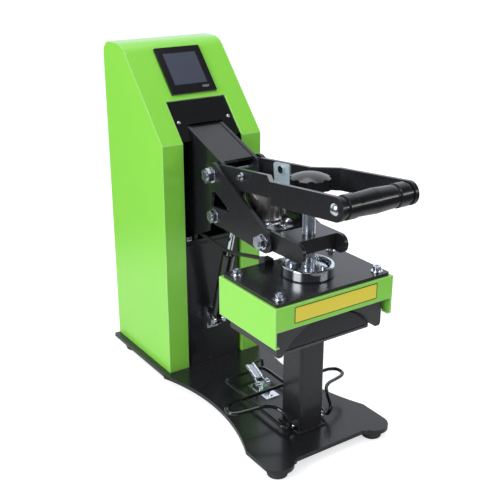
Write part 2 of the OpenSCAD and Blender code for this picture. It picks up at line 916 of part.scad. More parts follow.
module clevis_pin() {
  color(zinc) {
    bar_x_axis(gs_x - 12, gs_x + 12, gs, 7.9);
    hex_x(gs_x + 7.5, gs_x + 12.5, gs, 13);
    hex_x(gs_x - 12.5, gs_x - 7.5, gs, 13);
  }
}

// Heater lead from the head bracket to the platen

lead_route = [[-20, 126, 228], [-20, 118, 228], [-20, 95, 227], [-21, 65, 226],
  [-21, 40, 225], [-22, 10, 223],
  [-24, -20, 224], [-26, -50, 230], [-27, -80, 237], [-27, -94, 239.9],
  [-27, -101.6, 240.4]];

module heater_lead() {
  color(rubber) swept(smooth(lead_route, 4), 2.6, 10, [1, 0, 0]);
}

module lead_relief() {
  // Clamp on the top plate, with a round collar for the lead
  color(black) {
    difference() {
      translate([-34, -118, 235.5]) cube([14, 13, 9.5]);
      translate([-27, -112, 241.5]) cylinder(h = 5, d = 5);
    }
    translate([-27, -105.1, 240.4]) rotate([-90, 0, 0]) cylinder(h = 3.1, d = 8.6);
  }
}

// Cap tensioner

wing = [[-31.6, -166.4, 27.2], [-32.3, -173.5, 30.5], [-33.5, -177, 42],
  [-36, -168, 51], [-43, -155, 56], [-54, -147.5, 57], [-70, -141, 54],
  [-85, -135, 51.5], [-92.6, -130, 51], [-94.8, -124, 51], [-92.6, -117.5, 52],
  [-85, -114, 53], [-70, -113, 54], [0, -113, 54]];
function flip(p) = [for (i = [len(p) - 2 : -1 : 0])
  [-p[i][0], p[i][1], p[i][2]]];
pull = [[-20, -166, 27], [-24, -166, 27], [-28, -166, 27], [-31.5, -165.4, 27],
  [-34, -161, 27.2],
  [-34.5, -155, 27.4], [-34, -100, 28], [-34, -40, 29], [-33.5, -30, 29.2],
  [-31.5, -24, 29.6], [-26, -22, 30], [0, -22, 30]];

module tensioner_frame() {
  color(black) {
    swept(smooth(concat(wing, flip(wing)), 3), 2.5, 8, [0, 0, 1]);
    swept(smooth(concat(pull, flip(pull)), 3), 2.5, 8, [0, 0, 1]);
  }
}

module tensioner_pivots() {
  color(zinc) mirrored() difference() {
    bar_x_axis(15.2, 28, tp, 9);
    bar_x_axis(19.4, 40, tp, 5.6);
  }
}

module latch_base() {
  color(zinc) difference() {
    union() {
      translate([lx - 11, -88, plate_z]) cube([22, 46, 2]);
      for (s = [-1, 1]) along_x(lx + (s > 0 ? 8 : -10), lx + (s > 0 ? 10 : -8))
        union() {
          translate(lp) circle(6);
          translate([lp[0] - 8, plate_z]) square([16, lp[1] - plate_z]);
        }
      // Rivet heads
      for (y = [-82, -48]) translate([lx, y, plate_z + 1.9])
        cylinder(h = 1.8, d1 = 7, d2 = 4);
    }
    bar_x_axis(-20, 40, lp, 5);
  }
}

latch_tilt = 24;

module latch_lever() {
  // Folded from one strip, with a rolled edge along each side
  color(zinc) translate([lx, lp[0], lp[1]]) rotate([latch_tilt, 0, 0])
    difference() {
      union() {
        for (s = [-1, 1]) translate([s > 0 ? 5.2 : -7.2, 0, 0])
          along_x(0, 2) union() {
            circle(5.5);
            translate([0, -3.5]) square([33, 6]);
          }
        for (x = [-5, 5]) translate([x, 9, 3.2]) rotate([-90, 0, 0])
          cylinder(h = 25, d = 5);
        translate([-5, 9, 1.6]) cube([10, 25, 1.8]);
      }
      bar_x_axis(-20, 20, [0, 0], 5.1);
    }
}

module latch_loop() {
  // Upright loop welded on the tensioner's rear rod
  color(black) translate([0, -22, 0]) {
    for (x = [10, 32]) translate([x, 0, 32.4]) cylinder(h = 8.6, d = 4);
    bar_x_axis(12, 30, [0, 43], 4);
    for (s = [-1, 1]) translate([21 + s * 9, 0, 41]) rotate([90, 0, 0])
      rotate([0, 0, s > 0 ? 0 : 90]) rotate_extrude(angle = 90)
        translate([2, 0]) circle(2);
  }
}

module latch_pin() {
  color(zinc) {
    bar_x_axis(lx - 11.5, lx + 11.5, lp, 4.9);
    bar_x_axis(lx + 10, lx + 12, lp, 8);
    bar_x_axis(lx - 12, lx - 10, lp, 8);
  }
}

module put() { translate([0, y_shift, 0]) children(); }

put() base_plate();
put() rubber_feet();
put() foot_screws();
put() support_post();
put() lower_platen_plate();
put() lower_platen_pad();
put() tower_housing();
put() throat_plate();
put() column();
put() head_bracket();
put() head_bracket_bolts();
put() controller_bezel();
put() controller_screen();
put() control_board();
put() power_module();
put() rear_cover();
put() power_inlet();
put() power_switch();
put() power_rocker();
put() main_pivot_bolt();
put() main_pivot_nut();
put() left_arm_plate();
put() right_arm_plate();
put() spring_pin();
put() elbow_bolts();
put() yoke();
put() armature_plate();
put() armature_bolts();
put() guide_stud();
put() screw_nut();
put() left_handle_bar();
put() right_handle_bar();
put() handle_grip();
put() grip_collars();
put() grip_screws();
put() magnet_bracket();
put() magnet_bracket_bolts();
put() electromagnet();
put() star_knob();
put() pressure_screw();
put() thrust_cup();
put() thrust_retainer();
put() platen_cover();
put() platen_top_plate();
put() platen_bolts();
put() heater_block();
put() heater_rods();
put() insulation_board();
put() gas_spring_tube();
put() gas_spring_rod();
put() gas_spring_clevis();
put() clevis_pin();
put() heater_lead();
put() lead_relief();
put() tensioner_frame();
put() tensioner_pivots();
put() latch_base();
put() latch_lever();
put() latch_loop();
put() latch_pin();
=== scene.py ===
# %% [markdown]
# # A clamshell press for caps
#
# The steel frame, the levers and the bolts of this press come from a packed
# model, and they stay as they are. This notebook gives them their finishes,
# and adds what a saw and a lathe can't easily make: a cut thread, a ribbed
# silicone pad, a hanging lead, weld beads and small screws.
# Sizes are written in millimetres, because a workshop drawing has them so.

# %% Load the press and set up the measures
import math

import bmesh
import bpy
from mathutils import Matrix, Vector


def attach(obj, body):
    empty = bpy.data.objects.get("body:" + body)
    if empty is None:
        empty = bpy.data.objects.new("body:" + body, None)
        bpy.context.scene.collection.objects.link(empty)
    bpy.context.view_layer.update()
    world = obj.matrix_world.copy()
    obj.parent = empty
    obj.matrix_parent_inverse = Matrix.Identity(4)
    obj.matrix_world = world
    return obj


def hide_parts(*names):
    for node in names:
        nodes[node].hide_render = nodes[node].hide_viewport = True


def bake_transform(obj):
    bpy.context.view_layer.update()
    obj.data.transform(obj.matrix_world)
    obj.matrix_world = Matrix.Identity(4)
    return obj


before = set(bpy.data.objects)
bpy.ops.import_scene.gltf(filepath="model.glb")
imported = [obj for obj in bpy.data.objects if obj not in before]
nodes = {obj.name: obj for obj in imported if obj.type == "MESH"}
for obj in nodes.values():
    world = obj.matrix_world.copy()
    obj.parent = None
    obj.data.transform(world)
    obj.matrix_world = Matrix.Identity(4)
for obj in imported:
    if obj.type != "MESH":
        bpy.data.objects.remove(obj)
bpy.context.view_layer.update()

MM = 0.001
# The drawing starts at the middle of the base. The model's middle takes in the
# handle too, so the drawing's zero lies this far behind it.
BASE_BACK = 27.7


def at(x, y, z):
    """A point of the drawing, in millimetres, as a place in the scene."""
    return Vector((x * MM, (y + BASE_BACK) * MM, z * MM))


def stamp(piece, words):
    """Prints what a piece measures."""
    size = piece.dimensions * 1000
    print(f"{words}: {size.x:.1f} x {size.y:.1f} x {size.z:.1f} mm")


# %% [markdown]
# ## The camera
#
# A lens of 62 mm on a 36 mm sensor, a little above the press and to its
# left, gives the view that a shop window gives. The camera is turned by
# three angles: round the vertical, down, and a hair of roll.

# %% Stand the camera
VIEW_ROUND, VIEW_DOWN, VIEW_ROLL = -34.46, 21.23, 0.11
VIEW_FROM = at(-610.17, -925.34, 644.72)
lens = bpy.data.cameras.new("view_lens")
lens.lens = 61.7
lens.sensor_width = 36
lens.clip_end = 20
camera = bpy.data.objects.new("view", lens)
bpy.context.collection.objects.link(camera)
turn = Matrix.Rotation(math.radians(VIEW_ROUND), 4, "Z")
tilt = Matrix.Rotation(math.radians(90 - VIEW_DOWN), 4, "X")
roll = Matrix.Rotation(math.radians(VIEW_ROLL), 4, "Z")
camera.matrix_world = Matrix.Translation(VIEW_FROM) @ turn @ tilt @ roll
bpy.context.scene.camera = camera
bpy.context.scene.view_settings.view_transform = "Standard"
print("camera stands", round(camera.location.length, 2), "m from the feet")

# %% [markdown]
# ## Nodes in one line each
#
# A finish is a tree of small nodes, each fed by others or by a plain number.
# Trees can be drawn by hand in the node editor, but a script keeps every
# number in sight and can build the same tree again. Adding a node and feeding
# all its inputs is one call here, so the cells below read like recipes.

# %% Helpers that start a material and add nodes


def new_material(name):
    """An empty material, and the tree that holds its nodes."""
    material = bpy.data.materials.new(name)
    material.use_nodes = True
    material.node_tree.nodes.clear()
    return material, material.node_tree


def feed(tree, socket, value):
    """Joins an input socket to another socket, or sets it to a plain value."""
    if isinstance(value, bpy.types.NodeSocket):
        tree.links.new(value, socket)
    else:
        socket.default_value = value


def fill(tree, node, inputs):
    """Feeds a node's inputs, each found by its name or its number."""
    for label, value in inputs.items():
        feed(tree, node.inputs[label], value)


def add_node(tree, kind, inputs):
    """A new node with its inputs fed."""
    node = tree.nodes.new(kind)
    fill(tree, node, inputs)
    return node


def put_out(tree, shader):
    """Joins the finished shader to the material's output."""
    add_node(tree, "ShaderNodeOutputMaterial", {"Surface": shader.outputs[0]})


print("nodes can be added")

# %% Helpers that reckon and mix


def math_node(tree, job, *values, clamp=False):
    """One step of arithmetic. MULTIPLY_ADD gives first x second + third."""
    node = tree.nodes.new("ShaderNodeMath")
    node.operation, node.use_clamp = job, clamp
    fill(tree, node, dict(enumerate(values)))
    return node.outputs[0]


def vector_math(tree, job, *values):
    """A number that is worked out of one or two directions."""
    node = tree.nodes.new("ShaderNodeVectorMath")
    node.operation = job
    fill(tree, node, dict(enumerate(values)))
    return node.outputs["Value"]


def ramp_between(tree, value, start, end, low, high):
    """A soft step of a value: low up to start, high from end on."""
    node = tree.nodes.new("ShaderNodeMapRange")
    node.interpolation_type = "SMOOTHSTEP"
    fill(tree, node, dict(enumerate((value, start, end, low, high))))
    return node.outputs[0]


# A Mix node shows its colour sockets after its number sockets.
MIX_AMOUNT, MIX_FIRST, MIX_SECOND = 0, 2, 3
COLOUR_FIRST, COLOUR_SECOND, COLOUR_MIXED = 6, 7, 2


def choose(tree, switch, off, on):
    """One of two levels: off where the switch is 0, on where it is 1."""
    inputs = {MIX_AMOUNT: switch, MIX_FIRST: off, MIX_SECOND: on}
    return add_node(tree, "ShaderNodeMix", inputs).outputs[0]


def blend_colour(tree, amount, first, second, job="MIX"):
    """Two colours blended by an amount."""
    node = tree.nodes.new("ShaderNodeMix")
    node.data_type, node.blend_type = "RGBA", job
    fill(tree, node, {MIX_AMOUNT: amount, COLOUR_FIRST: first, COLOUR_SECOND: second})
    return node.outputs[COLOUR_MIXED]


print("numbers and colours can be mixed")

# %% Helpers that ask where a point lies and which ray meets it


def place_on_piece(tree):
    """Where a point of the surface lies in its piece's own space, in metres."""
    return tree.nodes.new("ShaderNodeTexCoord").outputs["Object"]


def ray_kinds(tree):
    """Two switches: seen by the eye, straight or through glass; mirrored."""
    path = tree.nodes.new("ShaderNodeLightPath").outputs
    seen = math_node(
        tree, "MAXIMUM", path["Is Camera Ray"], path["Is Transmission Ray"]
    )
    return seen, path["Is Glossy Ray"]


print("places and rays can be asked for")

# %% [markdown]
# ## Floor, world and lamps
#
# A white sweep has no horizon. What the camera sees of the room is plain
# white, but a mirror finds more in it: the sweep ends a little way out, the
# back wall is bright and the side where the camera stands is dim. Black paint
# needs that dim side to look black. Three wide lamps make the highlights.

# %% Lay the floor
FLOOR_HALF = 8
FLOOR_WHITE = 0.80
# In a mirror the sweep fades from bright to dim between these two distances.
SWEEP_FADES = (0.50, 0.85)
SWEEP_BRIGHT, SWEEP_DIM = 0.75, 0.10
# What the lamps leave missing to plain white, for the eye alone.
FLOOR_LIFT = 0.66

floor_mesh = bpy.data.meshes.new("floor")
floor_mesh.from_pydata(
    [
        (-FLOOR_HALF, -FLOOR_HALF, 0),
        (FLOOR_HALF, -FLOOR_HALF, 0),
        (FLOOR_HALF, FLOOR_HALF, 0),
        (-FLOOR_HALF, FLOOR_HALF, 0),
    ],
    [],
    [(0, 1, 2, 3)],
)
floor = bpy.data.objects.new("floor", floor_mesh)
bpy.context.collection.objects.link(floor)
floor_paint, tree = new_material("white_sweep")
seen, mirrored = ray_kinds(tree)
away = vector_math(tree, "LENGTH", place_on_piece(tree))
sweep_end = ramp_between(tree, away, *SWEEP_FADES, SWEEP_BRIGHT, SWEEP_DIM)
white = choose(tree, mirrored, FLOOR_WHITE, sweep_end)
matt = add_node(tree, "ShaderNodeBsdfDiffuse", {"Color": white})
lift = math_node(tree, "MULTIPLY", seen, FLOOR_LIFT)
glow = add_node(tree, "ShaderNodeEmission", {"Strength": lift})
both = {0: matt.outputs[0], 1: glow.outputs[0]}
put_out(tree, add_node(tree, "ShaderNodeAddShader", both))
floor_mesh.materials.append(floor_paint)
print("floor laid,", 2 * FLOOR_HALF, "m wide")

# %% Paint the room's walls on the world
BACK_WALL = (0.42, 0.90, 0.12)
WINDOW = (-0.75, 0.15, 0.65)
COOL_LIGHT, WHITE = (0.93, 0.97, 1.05, 1), (1, 1, 1, 1)

world = bpy.data.worlds.new("studio")
bpy.context.scene.world = world
world.use_nodes = True
tree = world.node_tree
tree.nodes.clear()
seen, mirrored = ray_kinds(tree)
toward = tree.nodes.new("ShaderNodeTexCoord").outputs["Generated"]
to_wall = vector_math(tree, "DOT_PRODUCT", toward, BACK_WALL)
wall_glow = ramp_between(tree, to_wall, 0.05, 0.80, 0.10, 1.0)
to_window = vector_math(tree, "DOT_PRODUCT", toward, WINDOW)
window_glow = ramp_between(tree, to_window, -0.5, 0.9, 0.14, 0.62)
level = choose(tree, seen, choose(tree, mirrored, window_glow, wall_glow), 1.0)
light = blend_colour(tree, seen, COOL_LIGHT, WHITE)
sky = add_node(tree, "ShaderNodeBackground", {"Color": light, "Strength": level})
add_node(tree, "ShaderNodeOutputWorld", {"Surface": sky.outputs[0]})
print("the world is white to the eye")

# %% Hang the lamps


def softbox(name, place, aim, width, height, watts):
    """A rectangle of light at a place, turned to what it aims at."""
    lamp = bpy.data.lights.new(name, "AREA")
    lamp.shape = "RECTANGLE"
    lamp.size, lamp.size_y = width, height
    lamp.energy = watts
    holder = bpy.data.objects.new(name, lamp)
    bpy.context.collection.objects.link(holder)
    holder.location = place
    holder.rotation_euler = (
        (Vector(aim) - Vector(place)).to_track_quat("-Z", "Y").to_euler()
    )


softbox("key_left", (-2.1, -0.35, 1.2), (0, 0, 0.25), 1.3, 1.3, 31)
softbox("strip_front", (0.78, -1.2, 0.66), (0, 0, 0.28), 0.9, 0.16, 3)
softbox("top", (0.0, 0.3, 2.2), (0, 0, 0.2), 1.5, 1.5, 15)
print("three softboxes hung")

# %% [markdown]
# ## What paint and plate do to a surface
#
# Powder paint melts as it bakes, and sets with a fine orange peel. Its edges
# are round, because the film is thick. A Bevel node finds these edges and
# rounds only the shading, so the mesh keeps its true size. The same edges are
# then painted paler, as a painted highlight. Each effect is a node group: made
# once, and set by each finish that uses it.

# %% Helpers that make node groups
FLOAT, COLOUR, VECTOR = "NodeSocketFloat", "NodeSocketColor", "NodeSocketVector"
# What the group of a skin hands over to its material.
SKIN = [("Colour", COLOUR), ("Roughness", FLOAT), ("Height", FLOAT)]


def shader_group(name, ins, outs):
    """An empty shader group with named sockets: (name, kind, value)."""
    group = bpy.data.node_groups.new(name, "ShaderNodeTree")
    for label, kind, value in ins:
        socket = group.interface.new_socket(label, in_out="INPUT", socket_type=kind)
        socket.default_value = value
    for label, kind in outs:
        group.interface.new_socket(label, in_out="OUTPUT", socket_type=kind)
    return group, group.nodes.new("NodeGroupInput").outputs


def noise(tree, vector, scale, detail, rough):
    """Soft random spots over a surface, from 0 to 1."""
    inputs = {"Vector": vector, "Scale": scale, "Detail": detail, "Roughness": rough}
    return add_node(tree, "ShaderNodeTexNoise", inputs).outputs["Fac"]


def put_out_skin(group, given, colour, spots, reach, height):
    """Ends a skin's group. Spots push its roughness up and down over a reach."""
    push = math_node(group, "MULTIPLY_ADD", spots, reach, -reach / 2)
    rough = math_node(group, "ADD", given["Roughness"], push, clamp=True)
    inputs = {"Colour": colour, "Roughness": rough, "Height": height}
    add_node(group, "NodeGroupOutput", inputs)


print("group helpers ready")

# %% The rounded edge
edge_group, given = shader_group(
    "rounded_edge",
    [("Radius", FLOAT, 0.0006), ("Gain", FLOAT, 5.0)],
    [("Normal", VECTOR), ("Edge", FLOAT)],
)
bevel = add_node(edge_group, "ShaderNodeBevel", {"Radius": given["Radius"]})
bevel.samples = 4
rounded = bevel.outputs["Normal"]
true = edge_group.nodes.new("ShaderNodeNewGeometry").outputs["Normal"]
same = vector_math(edge_group, "DOT_PRODUCT", rounded, true)
off = math_node(edge_group, "SUBTRACT", 1.0, same)
edge = math_node(edge_group, "MULTIPLY", off, given["Gain"], clamp=True)
add_node(edge_group, "NodeGroupOutput", {"Normal": rounded, "Edge": edge})
print("rounded edges over", bevel.samples, "samples")

# %% The baked powder film
film_group, given = shader_group(
    "powder_film",
    [
        ("Colour", COLOUR, (0.5, 0.5, 0.5, 1)),
        ("Edge Colour", COLOUR, (0.7, 0.7, 0.7, 1)),
        ("Edge", FLOAT, 0.0),
        ("Edge Amount", FLOAT, 0.5),
        ("Peel Scale", FLOAT, 500.0),
        ("Roughness", FLOAT, 0.3),
        ("Dust", FLOAT, 0.04),
    ],
    SKIN,
)
where = place_on_piece(film_group)
peel = noise(film_group, where, given["Peel Scale"], 2.0, 0.4)
patches = noise(film_group, where, 14.0, 3.0, 0.55)
specks = noise(film_group, where, 900.0, 1.0, 0.5)
shade = math_node(film_group, "MULTIPLY_ADD", patches, 0.05, 0.975)
tinted = blend_colour(film_group, 1.0, given["Colour"], shade, "MULTIPLY")
# Where the Edge mask is high, the colour goes towards Edge Colour: a painted highlight
# on the edges.
edge_glint_and_finish = math_node(film_group, "MULTIPLY", given["Edge"], given["Edge Amount"])
edged = blend_colour(film_group, edge_glint_and_finish, tinted, given["Edge Colour"])
grit = math_node(film_group, "GREATER_THAN", specks, 0.69)
dust = math_node(film_group, "MULTIPLY", grit, given["Dust"])
dusty = blend_colour(film_group, dust, edged, (0.5, 0.5, 0.48, 1))
put_out_skin(film_group, given, dusty, patches, 0.08, peel)
print("powder film of", len(film_group.nodes), "nodes")

# %% The zinc, nickel and chrome
plate_group, given = shader_group(
    "metal_plate",
    [
        ("Colour", COLOUR, (0.6, 0.6, 0.62, 1)),
        ("Tint", COLOUR, (0.62, 0.6, 0.5, 1)),
        ("Tint Amount", FLOAT, 0.3),
        ("Roughness", FLOAT, 0.25),
        ("Grain", FLOAT, 700.0),
        ("Stretch", VECTOR, (1.0, 0.08, 1.0)),
        ("Edge", FLOAT, 0.0),
    ],
    SKIN,
)
where = place_on_piece(plate_group)
clouds = noise(plate_group, where, 160.0, 3.0, 0.6)
lines = add_node(
    plate_group, "ShaderNodeMapping", {"Vector": where, "Scale": given["Stretch"]}
)
brush = noise(plate_group, lines.outputs["Vector"], given["Grain"], 2.0, 0.6)
some = math_node(plate_group, "MULTIPLY", clouds, given["Tint Amount"])
tint = blend_colour(plate_group, some, given["Colour"], given["Tint"])
# The edges are lightened towards a pale grey: a painted highlight.
bright = math_node(plate_group, "MULTIPLY", given["Edge"], 0.35)
lit = blend_colour(plate_group, bright, tint, (0.9, 0.9, 0.92, 1))
put_out_skin(plate_group, given, lit, brush, 0.20, brush)
print("metal plate of", len(plate_group.nodes), "nodes")

# %% The moulded skin
moulded_group, given = shader_group(
    "moulded_skin",
    [
        ("Colour", COLOUR, (0.02, 0.02, 0.02, 1)),
        ("Pebble Scale", FLOAT, 1400.0),
        ("Roughness", FLOAT, 0.4),
        ("Scuff", FLOAT, 0.1),
    ],
    SKIN,
)
where = place_on_piece(moulded_group)
cells = add_node(
    moulded_group,
    "ShaderNodeTexVoronoi",
    {"Vector": where, "Scale": given["Pebble Scale"]},
)
cells.feature = "SMOOTH_F1"
smear = noise(moulded_group, where, 40.0, 4.0, 0.6)
rub = math_node(moulded_group, "MULTIPLY", smear, given["Scuff"])
worn = blend_colour(moulded_group, rub, given["Colour"], (0.22, 0.22, 0.22, 1))
put_out_skin(moulded_group, given, worn, smear, 0.22, cells.outputs["Distance"])
print(len(bpy.data.node_groups), "node groups for finishes")

# %% [markdown]
# ## The finishes
#
# Each finish is one Principled shader with the groups plugged into it.
# Numbers that are the same all over sit on the shader itself.

# %% Helpers that mix a finish


def add_group(tree, group, inputs):
    """A node group placed in a material, with its own values."""
    node = tree.nodes.new("ShaderNodeGroup")
    node.node_tree = group
    fill(tree, node, inputs)
    return node


def finish(name, group, values, bump, depth, shader, edge_size=0.0, edge_gain=5.0):
    """A material: one group for the skin, a bump, and a rounded edge."""
    material, tree = new_material(name)
    skin = add_group(tree, group, values)
    height = skin.outputs["Height"]
    dent = add_node(
        tree, "ShaderNodeBump", {"Strength": bump, "Distance": depth, "Height": height}
    )
    if edge_size:
        rim = add_group(tree, edge_group, {"Radius": edge_size * MM, "Gain": edge_gain})
        feed(tree, dent.inputs["Normal"], rim.outputs["Normal"])
        if "Edge" in skin.inputs:
            feed(tree, skin.inputs["Edge"], rim.outputs["Edge"])
    look = {
        "Base Color": skin.outputs["Colour"],
        "Roughness": skin.outputs["Roughness"],
        "Normal": dent.outputs["Normal"],
    }
    put_out(tree, add_node(tree, "ShaderNodeBsdfPrincipled", look | shader))
    return material


print("finishes can be mixed")

# %% [markdown]
# ## Powder paint and enamel
#
# The tower and the platen's cover are baked in a bright green, and the frame
# in black. A picture of paint could be wrapped round them, but it would blur
# up close and show its seams. So the peel, and the pale edges that are a
# painted highlight, are worked out from the place on the surface.

# %% Mix the paints
# Each paint's Edge Colour is a painted highlight, laid along its edges by the film
# group.
green_powder = finish(
    "green_powder",
    film_group,
    {
        "Colour": (0.285, 0.76, 0.075, 1),
        "Edge Colour": (0.90, 1.0, 0.80, 1),
        "Edge Amount": 1.0,
        "Peel Scale": 260.0,
        "Roughness": 0.26,
        "Dust": 0.02,
    },
    bump=0.05,
    depth=0.0002,
    shader={"Coat Weight": 0.35, "Coat Roughness": 0.08, "IOR": 1.45},
    edge_size=1.1,
    edge_gain=9.0,
)
black_powder = finish(
    "black_powder",
    film_group,
    {
        "Colour": (0.0125, 0.0128, 0.0148, 1),
        "Edge Colour": (0.07, 0.072, 0.078, 1),
        "Edge Amount": 0.6,
        "Peel Scale": 520.0,
        "Roughness": 0.27,
        "Dust": 0.05,
    },
    bump=0.05,
    depth=0.0002,
    shader={"Coat Weight": 0.2, "Coat Roughness": 0.1, "IOR": 1.45},
    edge_size=0.7,
)
black_gloss = finish(
    "black_gloss_enamel",
    film_group,
    {
        "Colour": (0.006, 0.006, 0.007, 1),
        "Edge Colour": (0.06, 0.06, 0.065, 1),
        "Edge Amount": 0.5,
        "Peel Scale": 380.0,
        "Roughness": 0.18,
        "Dust": 0.03,
    },
    bump=0.06,
    depth=0.0003,
    shader={"Coat Weight": 0.6, "Coat Roughness": 0.08, "IOR": 1.5},
    edge_size=0.5,
)
print("green, black and gloss black paint mixed")

# %% [markdown]
# ## Plated and bare metal
#
# Bolts and brackets are zinc plated, the cup and the rods are chromed, and
# the magnet has a dull nickel skin. A metal shows what stands round it, so
# its look lies in how sharp it mirrors and how its fine lines run. All these
# metals are one group with other numbers.

# %% Mix the metals
bright_zinc = finish(
    "bright_zinc",
    plate_group,
    {
        "Colour": (0.80, 0.83, 0.88, 1),
        "Tint": (0.58, 0.68, 0.80, 1),
        "Tint Amount": 0.5,
        "Roughness": 0.18,
        "Grain": 900.0,
    },
    bump=0.04,
    depth=0.0001,
    shader={"Metallic": 1.0},
    edge_size=0.35,
)
blue_zinc = finish(
    "blue_zinc",
    plate_group,
    {
        "Colour": (0.58, 0.70, 0.76, 1),
        "Tint": (0.72, 0.80, 0.82, 1),
        "Tint Amount": 0.6,
        "Roughness": 0.40,
        "Grain": 600.0,
    },
    bump=0.04,
    depth=0.0001,
    shader={"Metallic": 0.4},
    edge_size=0.35,
)
chrome = finish(
    "polished_chrome",
    plate_group,
    {
        "Colour": (0.80, 0.83, 0.87, 1),
        "Tint": (0.62, 0.68, 0.76, 1),
        "Tint Amount": 0.4,
        "Roughness": 0.12,
        "Grain": 300.0,
    },
    bump=0.02,
    depth=0.0001,
    shader={"Metallic": 1.0},
    edge_size=0.5,
)
nickel = finish(
    "dull_nickel",
    plate_group,
    {
        "Colour": (0.80, 0.775, 0.73, 1),
        "Tint": (0.50, 0.48, 0.44, 1),
        "Tint Amount": 0.7,
        "Roughness": 0.26,
        "Grain": 420.0,
        "Stretch": (1.0, 1.0, 0.03),
    },
    bump=0.35,
    depth=0.0002,
    shader={"Metallic": 1.0},
    edge_size=0.8,
)
mill_aluminium = finish(
    "mill_aluminium",
    plate_group,
    {
        "Colour": (0.62, 0.63, 0.65, 1),
        "Tint": (0.5, 0.5, 0.52, 1),
        "Tint Amount": 0.5,
        "Roughness": 0.42,
        "Grain": 520.0,
    },
    bump=0.12,
    depth=0.0001,
    shader={"Metallic": 1.0},
    edge_size=0.5,
)
# The plate under the pad is aluminium, painted dark: painted shade where the pad
# overhangs it.
aluminium_in_painted_shade = finish(
    "aluminium_in_painted_shade",
    plate_group,
    {
        "Colour": (0.13, 0.13, 0.135, 1),
        "Tint": (0.09, 0.09, 0.095, 1),
        "Tint Amount": 0.5,
        "Roughness": 0.38,
        "Grain": 520.0,
    },
    bump=0.08,
    depth=0.0001,
    shader={"Metallic": 0.9},
    edge_size=0.4,
)
print("six metals mixed")

# %% [markdown]
# ## Coats, mouldings and boards
#
# The heater has a matt heatproof coat. Grip and knob are glossy, and feet and
# lead are rubber with a fine pebble, which a cell pattern gives. The boards
# lie inside the tower and the platen, so their finishes stay simple.

# %% Mix the coats, mouldings and boards
# The paler Edge Colour of the coat and the mouldings is a painted highlight along their
# edges.
heater_coat = finish(
    "heater_coat",
    film_group,
    {
        "Colour": (0.055, 0.054, 0.056, 1),
        "Edge Colour": (0.16, 0.16, 0.165, 1),
        "Edge Amount": 0.5,
        "Peel Scale": 900.0,
        "Roughness": 0.5,
        "Dust": 0.12,
    },
    bump=0.35,
    depth=0.0003,
    shader={"IOR": 1.45},
    edge_size=0.8,
)
moulded_black = finish(
    "moulded_black",
    film_group,
    {
        "Colour": (0.007, 0.007, 0.0085, 1),
        "Edge Colour": (0.16, 0.16, 0.175, 1),
        "Edge Amount": 0.5,
        "Peel Scale": 700.0,
        "Roughness": 0.24,
        "Dust": 0.02,
    },
    bump=0.03,
    depth=0.0001,
    shader={"IOR": 1.5, "Coat Weight": 0.3, "Coat Roughness": 0.05},
    edge_size=0.5,
)
foot_rubber = finish(
    "foot_rubber",
    moulded_group,
    {
        "Colour": (0.012, 0.012, 0.012, 1),
        "Pebble Scale": 1800.0,
        "Roughness": 0.62,
        "Scuff": 0.2,
    },
    bump=0.25,
    depth=0.0002,
    shader={"IOR": 1.5},
    edge_size=0.6,
)
lead_jacket = finish(
    "lead_jacket",
    moulded_group,
    {
        "Colour": (0.010, 0.010, 0.010, 1),
        "Pebble Scale": 2600.0,
        "Roughness": 0.5,
        "Scuff": 0.12,
    },
    bump=0.2,
    depth=0.0001,
    shader={"IOR": 1.48},
)
circuit_green = finish(
    "circuit_green",
    moulded_group,
    {
        "Colour": (0.015, 0.10, 0.045, 1),
        "Pebble Scale": 500.0,
        "Roughness": 0.35,
        "Scuff": 0.2,
    },
    bump=0.1,
    depth=0.0001,
    shader={"IOR": 1.5},
)
mineral_fibre = finish(
    "mineral_fibre",
    moulded_group,
    {
        "Colour": (0.55, 0.50, 0.41, 1),
        "Pebble Scale": 700.0,
        "Roughness": 0.85,
        "Scuff": 0.3,
    },
    bump=0.6,
    depth=0.0005,
    shader={"Sheen Weight": 0.2},
)
print(len(bpy.data.materials), "materials so far")

# %% [markdown]
# ## The ribbed silicone
#
# The pad's skin has fine ribs that lean two ways. Ribs cut in the mesh would
# need millions of faces. Two sine waves do the same for the light: they lift
# the shading of each rib, and paint its crest paler and its groove darker, as
# a painted highlight and a painted shade.

# %% Mix the ribbed silicone
RIB_SPACING = 0.0017
ribbed_silicone, tree = new_material("ribbed_silicone")
where = place_on_piece(tree)
ribs = []
for across in ((0.68, 0.2, 0.73), (-0.72, 0.15, 0.68)):
    along = vector_math(tree, "DOT_PRODUCT", where, across)
    phase = math_node(tree, "MULTIPLY", along, math.tau / RIB_SPACING)
    wave = math_node(tree, "SINE", phase)
    ribs.append(math_node(tree, "MULTIPLY_ADD", wave, 0.5, 0.5))
crossing = math_node(tree, "MULTIPLY_ADD", ribs[1], 0.35, 0.65)
woven = math_node(tree, "MULTIPLY", ribs[0], crossing)
smear = noise(tree, where, 55.0, 4.0, 0.6)
# Pale crests and dark grooves: a painted highlight and a painted shade along the ribs.
dark = blend_colour(tree, woven, (0.008, 0.008, 0.009, 1), (0.085, 0.085, 0.090, 1))
chalky = math_node(tree, "MULTIPLY", smear, 0.10)
dusty = blend_colour(tree, chalky, dark, (0.10, 0.10, 0.10, 1))
dent = add_node(
    tree, "ShaderNodeBump", {"Strength": 0.6, "Distance": 0.0004, "Height": woven}
)
look = {
    "Base Color": dusty,
    "Roughness": 0.6,
    "Specular IOR Level": 0.3,
    "Normal": dent.outputs["Normal"],
}
put_out(tree, add_node(tree, "ShaderNodeBsdfPrincipled", look))
print("ribs every", RIB_SPACING * 1000, "mm")

# %% [markdown]
# ## Vinyl and print
#
# The strip on the platen is cut from yellow vinyl over a dark rim, and the
# letters under the display are printed in grey. Ink is a film too, so all
# three are made with the paint's group, with its edges left as they are.

